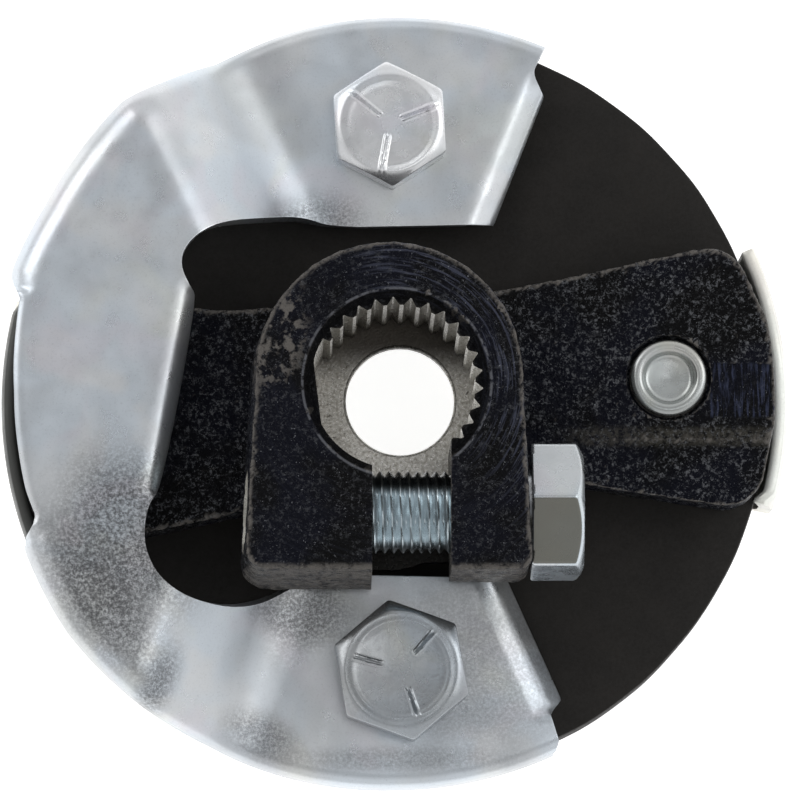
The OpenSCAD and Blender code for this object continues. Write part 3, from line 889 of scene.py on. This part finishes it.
def skirt(loop, flat, verts):
    """Adds the turned-down wall's points under the outline, and gives its faces."""
    angle = angles(turned(loop, PLATE_CLOCK))
    first, last = SKIRT_ENDS
    wanted = np.abs(np.hypot(loop[:, 0], loop[:, 1]) - rim_radius(angle)) < 0.7
    wanted &= np.array([any(lo + 1 < a < hi - 1 for lo, hi in SKIRTED) for a in angle])
    wanted &= (angle > first) & (angle < last)
    columns = {}
    for i, p in enumerate(loop):
        if not wanted[i]:
            continue
        edge = int(np.argmin(np.hypot(*(flat - p).T)))
        x, y, z = verts[edge]
        drop = 2.0 - 0.9 * np.clip((z + 1.0 - PLATE_Z) / BRIDGE_RISE, 0, 1)
        columns[i] = [edge]
        for s in (0.3, 0.65, 1.0):
            flare = 1 + 0.004 * s
            columns[i].append(len(verts))
            verts.append([x * flare, y * flare, z - drop * s])
    faces = []
    for i in columns:
        j = (i + 1) % len(loop)
        if j in columns:
            a, b = columns[i], columns[j]
            faces += [(a[k], a[k + 1], b[k + 1], b[k]) for k in range(3)]
    return faces


def plate():
    loop = plate_loop()
    holes = [np.array(arc(0, side * PIN_REACH, r, 0, 350, 35)) for side, r in ((1, 4.2), (-1, 5.0))]
    flat, tris = flat_sheet(loop, holes)
    world = turned(flat, PLATE_CLOCK)
    wave = np.array([noise.noise(Vector((x * 0.09, y * 0.09, 4.0))) for x, y in world])
    verts = np.column_stack([world, plate_height(flat) + 0.10 * wave]).tolist()
    faces = [tuple(t) for t in tris] + skirt(loop, flat, verts)
    obj = clean(new_object("plate", verts, faces))
    if sum(p.normal.z for p in obj.data.polygons) < 0:
        obj.data.flip_normals()
    mod = obj.modifiers.new("thick", "SOLIDIFY")
    mod.thickness = SHEET_T * MM
    mod.offset = -1
    return coloured(apply_all(obj), M_SHEET)


finish_piece(bevel(plate(), 0.16), 50, "plate_stamping", "shaft_side", "safety_plate")


# --- bolts and pins
def hex_radius(a, af, corner=0.12):
    """Distance from the axis to a hexagon's edge, with its corners just broken."""
    half = af / 2
    k = (a + math.pi / 6) % (math.pi / 3) - math.pi / 6
    r = half / math.cos(k)
    limit = half / math.cos(math.pi / 6) - corner
    return r if r < limit else limit + (r - limit) * 0.25


def hex_head(af, h, top_r, dish, marks=(), mark=(1.0, 3.0), ring=0.0):
    """A hexagon head on z = 0: chamfer arcs, a broken edge, a slightly dished face and grade lines.
    marks are the lines' angles, and mark is where each starts and how long it is."""
    seg = 240
    line_h, half_gap = 0.20, 0.25
    verts, rings = [], []
    limit = af / math.sqrt(3)
    drop = (limit - top_r) * 0.55

    def top(r, a):
        z = h - dish * (1 - (r / top_r) ** 2) + ring * math.exp(-((r - top_r * 0.86) / 0.35) ** 2)
        for m in marks:
            u = r * math.cos(a - rad(m))
            v = r * math.sin(a - rad(m))
            if mark[0] < u < mark[0] + mark[1]:
                sides = math.exp(-((abs(v) - half_gap) / 0.13) ** 2)
                z += line_h * (sides - 0.35 * math.exp(-(v / 0.12) ** 2))
        return z

    add_ring(verts, rings, [(0, 0, top(0, 0))])
    for r in list(np.arange(0.25, top_r - 0.01, 0.22)) + [top_r]:
        add_ring(verts, rings, [(r * math.cos(a), r * math.sin(a), top(r, a))
                                for a in full_turn(seg)])

    # Chamfer, then the broken edge: share of the way out, drop below the chamfer, inset.
    for share, lower, inset in ((0.5, 0, 0.1), (1.0, 0, 0.1), (1.0, 0.10, 0.02), (1.0, 0.25, 0.0),
                                (1.0, 0.40, 0.0)):
        points = []
        for a in full_turn(seg):
            r = top_r + (hex_radius(a, af) - inset - top_r) * share
            z = h - drop * max(0.0, (r - top_r)) / (limit - top_r) - lower
            points.append((r * math.cos(a), r * math.sin(a), z))
        add_ring(verts, rings, points)
    for z, inset in ((0.40, 0.0), (0.18, 0.0), (0.0, 0.15)):
        add_ring(verts, rings, circle([hex_radius(a, af) - inset for a in full_turn(seg)], z))
    add_ring(verts, rings, [(0, 0, 0)])
    return clean(new_object("head", verts, ring_faces(rings, seg)))


def shank(r, bottom, top, z0, z1):
    """A round shank from bottom to top with a helical thread cut between z0 and z1."""
    seg = 64
    verts, rings = [], []
    levels = [(bottom, r - 1.0), (bottom + 0.45, r - 0.5)]
    levels += [(z, r) for z in np.arange(bottom + 0.9, z1, THREAD_PITCH / 8)]
    levels += [(z, r) for z in np.linspace(z1, top, 6)]
    add_ring(verts, rings, [(0, 0, bottom)])
    for z, reach in levels:
        fade = float(smooth(z0 - 0.2, z0 + 0.4, z) * smooth(z1 + 0.2, z1 - 0.8, z))
        radii = []
        for i in range(seg):
            turn = (z / THREAD_PITCH - i / seg) % 1.0
            tooth = min(1.0, max(0.0, abs(turn - 0.5) * 2 * 1.25 - 0.1))
            radii.append(min(reach, r - THREAD_DEPTH * (1 - tooth) * fade))
        add_ring(verts, rings, circle(radii, z))
    add_ring(verts, rings, [(0, 0, top)])
    return clean(new_object("shank", verts, ring_faces(rings, seg)))


def plate_bolt(head, shank_r, turn):
    """Head on the plate, thread from near the free end to z = -14."""
    return joined("bolt", [moved(head, place(z=PLATE_Z, turn=turn + PLATE_CLOCK)),
                           shank(shank_r, TAIL_Z, PLATE_Z + 0.3, TAIL_Z + 1.2, -14)])


SMALL_AF, LARGE_AF = 12.7, 14.29
small = plate_bolt(hex_head(SMALL_AF, 5.2, 5.75, 0.05, (18, 138, 257), (1.4, 4.2), 0.06), 3.97, 2)
coloured(moved(small, on_circle(PLATE_CLOCK + 90)), M_BOLT)
finish_piece(small, 38, "small_bolt_zinc", "shaft_side", "small_bolt")

large = plate_bolt(hex_head(LARGE_AF, 6.0, 6.55, 0.25, (39, 155, 279), (2.4, 3.3), 0.10), 4.76, 9)
coloured(moved(large, on_circle(PLATE_CLOCK - 90)), M_LARGE_SHADED)
finish_piece(large, 38, "large_bolt_zinc", "shaft_side", "large_bolt")

pinch = joined("pinch", [moved(hex_head(LARGE_AF, 6.0, 6.5, 0.1), place(z=15.45, turn=21)),
                         shank(4.74, -16.25, 15.9, -15.0, 12.0)])
coloured(moved(pinch, across), M_PINCH)
finish_piece(pinch, 38, "pinch_bolt_zinc", "pinch", "pinch_bolt")

# Radius and height up a pin: pointed end, collar behind the strap, shank, riveted and dished head.
PIN_PROFILE = [
    (0, TAIL_Z), (3.0, TAIL_Z), (3.4, TAIL_Z + 0.1), (4.6, TAIL_Z + 1.9), (4.76, TAIL_Z + 2.4),
    (4.76, -15.1), (4.8, -15.0), (6.4, -15.0), (6.6, -14.8), (6.6, -13.5), (6.45, -13.3),
    (4.37, -13.3), (4.37, 5.9), (4.33, 6.25), (4.18, 6.48), (3.9, 6.6), (3.45, 6.62), (3.15, 6.5),
    (2.95, 6.2), (2.8, 5.85), (2.6, 5.62), (2.3, 5.55), (1.8, 5.52), (1.1, 5.46), (0.5, 5.40),
    (0, 5.38)]


def hammered(a, z):
    """The riveted head is a little out of round."""
    return 0.03 * math.sin(3 * a + z) if z > 5.5 else 0.0


for name, turn in (("right_pin", 0), ("left_pin", 180)):
    pin = moved(lathe(name, PIN_PROFILE, 96, hammered), on_circle(ARM_CLOCK + turn))
    finish_piece(coloured(pin, M_PIN), 50, name + "_rivet", "hub", name)


# --- the rear strap
def lip(centre):
    """One turned-up end of the strap, swept round the rim: its section is radius and height."""
    steps, half_angle, tip = 60, 19.5, -1.5
    back = DISC_BOTTOM - STRAP_T
    verts, rings = [], []
    for i in range(steps + 1):
        a = -half_angle + 2 * half_angle * i / steps
        hook = -0.9 * float(smooth(-17.2, -19.2, a))
        inner = [(38.5, DISC_BOTTOM), (42.2, DISC_BOTTOM), (43.2, -11.7), (43.95, -10.9),
                 (44.15, -9.9), (44.2, -6), (44.2 + hook, tip - 0.15)]
        outer = [(44.6 + hook, tip + 0.05), (45.5 + hook, tip - 0.15), (45.9 + hook * 0.6, -3.2),
                 (45.9, -6), (45.85, -10.2), (45.4, -11.7), (44.4, -12.8), (43.2, -13.25),
                 (42, back), (38.5, back)]
        t = rad(a + centre)
        add_ring(verts, rings, [(r * math.cos(t), r * math.sin(t), z) for r, z in inner + outer])
    faces = []
    m = len(rings[0])
    for p, q in zip(rings, rings[1:]):
        faces += [(p[k], p[(k + 1) % m], q[(k + 1) % m], q[k]) for k in range(m)]
    faces += [tuple(rings[0]), tuple(rings[-1][::-1])]
    return clean(new_object("lip", verts, faces))


def strap():
    parts, outline = [], []
    for turn in (0, 180):
        parts.append(lip(ARM_CLOCK + turn))
        end = arc(0, 0, 39.5, -19.4, 19.4, 20)
        half = [(12, -12.5), (30, -12.8)] + end + [(30, 12.8), (12, 12.5)]
        outline += turned(half, ARM_CLOCK + turn).tolist()
    flat = prism("flat", outline, DISC_BOTTOM - STRAP_T, DISC_BOTTOM)
    cut(flat, lathe("centre", [(0, -16), (10, -16), (10, -10), (0, -10)], 64))
    return joined("strap", parts + [flat])


rear_strap = coloured(bevel(strap(), 0.12), M_STRAP)
finish_piece(rear_strap, 40, "strap_sheet", "hub", "rear_strap")


# --- the disc, in eight sectors
def disc():
    """The whole disc: cut edge a little out of round, layered sides, holes for the sleeves."""
    seg = 288
    faces_r = (11.0, 20.0, 30.0, 38.0)      # rings on both flat faces, from the centre hole out
    layer = 1.1

    def edge(a):
        ragged = noise.noise(Vector((math.cos(a) * 6, math.sin(a) * 6, 1)))
        return DISC_R + 0.03 * math.cos(30 * a) + 0.06 * ragged

    # The side, as offset from the edge and height.
    side = [(-0.35, DISC_TOP), (-0.1, DISC_TOP - 0.1), (0, DISC_TOP - 0.35)]
    side += [(0.05 if k % 2 else -0.05, DISC_TOP - 0.35 - k * layer) for k in range(1, 8)]
    side += [(0, DISC_BOTTOM + 0.35), (-0.1, DISC_BOTTOM + 0.1), (-0.35, DISC_BOTTOM)]
    verts, rings = [], []
    for r in faces_r:
        add_ring(verts, rings, circle([r] * seg, DISC_TOP))
    for off, z in side:
        add_ring(verts, rings, circle([edge(a) + off for a in full_turn(seg)], z))
    for r in faces_r[::-1]:
        add_ring(verts, rings, circle([r] * seg, DISC_BOTTOM))
    whole = clean(new_object("disc", verts, ring_faces(rings, seg, True)))
    for angle in (ARM_CLOCK, ARM_CLOCK + 180, PLATE_CLOCK + 90, PLATE_CLOCK + 270):
        hole = lathe("hole", [(0, -14), (SLEEVE_R, -14), (SLEEVE_R, 0), (0, 0)], 48)
        cut(whole, moved(hole, on_circle(angle)))
    return whole


def sector(whole, a0, a1):
    """The part of the disc between two upright planes through the axis, closed at both."""
    mesh = whole.data.copy()
    bm = bmesh.new()
    bm.from_mesh(mesh)
    for a, keep in ((a0, 1), (a1, -1)):
        normal = Vector((-math.sin(rad(a)), math.cos(rad(a)), 0)) * keep
        got = bmesh.ops.bisect_plane(bm, geom=bm.verts[:] + bm.edges[:] + bm.faces[:],
                                     plane_co=(0, 0, 0), plane_no=normal, clear_inner=True,
                                     dist=1e-7)
        rim = [e for e in got["geom_cut"] if isinstance(e, bmesh.types.BMEdge) and e.is_boundary]
        bmesh.ops.holes_fill(bm, edges=rim, sides=0)
    bm.to_mesh(mesh)
    bm.free()
    return link(bpy.data.objects.new("sector", mesh))


# The stops are lines through pins or bolts and lines half-way between them, in turn.
whole = disc()
half_way = (ARM_CLOCK + PLATE_CLOCK) / 2 + 45
stops = []
for quarter in (0, 90, 180, 270):
    stops += [(ARM_CLOCK if quarter % 180 == 0 else PLATE_CLOCK) + quarter, half_way + quarter]
stops.append(ARM_CLOCK + 360)
for i in range(8):
    part = coloured(sector(whole, stops[i], stops[i + 1]), M_RUBBER)
    free, held = (stops[i + 1], stops[i]) if i % 2 == 0 else (stops[i], stops[i + 1])
    across_line = Vector((-math.sin(rad(free)), math.cos(rad(free)), 0))
    if across_line.dot(Vector((math.cos(rad(held)), math.sin(rad(held)), 0))) < 0:
        across_line = -across_line
    shade(part, 30)
    part.name = f"disc_sector_{i + 1}"
    if i in (0, 3, 4, 7):
        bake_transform(part)
    else:
        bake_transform(part)
    if i == 0:
        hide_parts("flex_disc")
bpy.data.objects.remove(whole)

# --- CAD nodes that keep their own shape
for name, node in nodes.items():
    if not node.hide_render:
        coloured(node, M_PIN if "sleeve" in name or "lock" in name else M_BOLT)


# --- floor, light and camera
def pale_floor():
    half, thickness, gap = 2500, 20, 0.2
    top = cad_box[0].z / MM - gap
    corners = [(-half, -half), (half, -half), (half, half), (-half, half)]
    g = Graph("pale_floor")
    g.put(g.shader.inputs["Emission Color"], (1.0, 1.0, 1.0))
    g.put(g.shader.inputs["Emission Strength"], 0.62)
    colour = g.mix(g.noise(0.02, 2), (0.86, 0.86, 0.86), (0.88, 0.88, 0.88))
    g.done(colour, g.step(g.noise(0.05, 2), 0.3, 0.7, 0.7, 0.8))
    return coloured(prism("floor", corners, top - thickness, top), g.material)


def studio_world():
    """White below and at the horizon, grey straight above, so that upright faces stay bright."""
    world = bpy.data.worlds.new("studio")
    bpy.context.scene.world = world
    world.use_nodes = True
    tree = world.node_tree
    back = tree.nodes["Background"]
    coord = tree.nodes.new("ShaderNodeTexCoord")
    split = tree.nodes.new("ShaderNodeSeparateXYZ")
    ramp = tree.nodes.new("ShaderNodeValToRGB")
    tree.links.new(coord.outputs["Generated"], split.inputs[0])
    tree.links.new(split.outputs[2], ramp.inputs[0])
    tree.links.new(ramp.outputs[0], back.inputs[0])
    stops = ramp.color_ramp.elements
    stops[0].position, stops[0].color = 0.0, (1.0, 1.0, 1.0, 1)
    stops[1].position, stops[1].color = 1.0, (0.44, 0.45, 0.465, 1)
    for position, value in ((0.35, 0.9), (0.7, 0.98), (0.86, 0.72), (0.96, 0.48)):
        stops.new(position).color = (value, value, value * 1.01, 1)
    back.inputs[1].default_value = 0.9


def softbox(name, place_at, size, power):
    """A rectangular light that looks at the coupling. Its place and size are metres."""
    light = bpy.data.lights.new(name, "AREA")
    light.shape = "RECTANGLE"
    light.size, light.size_y = size
    light.energy = power
    obj = link(bpy.data.objects.new(name, light))
    obj.location = place_at
    obj.rotation_euler = (-Vector(place_at)).to_track_quat("-Z", "Y").to_euler()


def front_camera():
    """A long lens a metre away, leaning 5.25 degrees from the axis; the picture is 93 mm wide."""
    camera = bpy.data.cameras.new("camera")
    camera.sensor_width = 36
    camera.lens = 386.5095
    camera.clip_start, camera.clip_end = 0.05, 20
    lean_x, lean_y, distance = rad(-0.59), rad(-5.25), 1000.0
    d = Vector((math.sin(lean_x), math.sin(lean_y), 0))
    d.z = math.sqrt(1 - d.x ** 2 - d.y ** 2)
    target = Vector((0.6, 0.15, 0)) * MM
    side = Vector((0, 1, 0)).cross(d).normalized()
    eye = link(bpy.data.objects.new("camera", camera))
    eye.location = target + d * distance * MM
    eye.rotation_mode = "QUATERNION"
    eye.rotation_quaternion = Matrix((side, d.cross(side), d)).transposed().to_quaternion()
    bpy.context.scene.camera = eye


pale_floor()
studio_world()
softbox("key_left", (-0.55, 0.35, 0.55), (0.5, 0.5), 1.1)
softbox("key_right", (0.60, 0.15, 0.50), (0.4, 0.6), 1.1)
softbox("strip", (0.34, -0.05, 0.80), (0.16, 0.7), 0.42)
front_camera()
bpy.context.scene.view_settings.view_transform = "Standard"
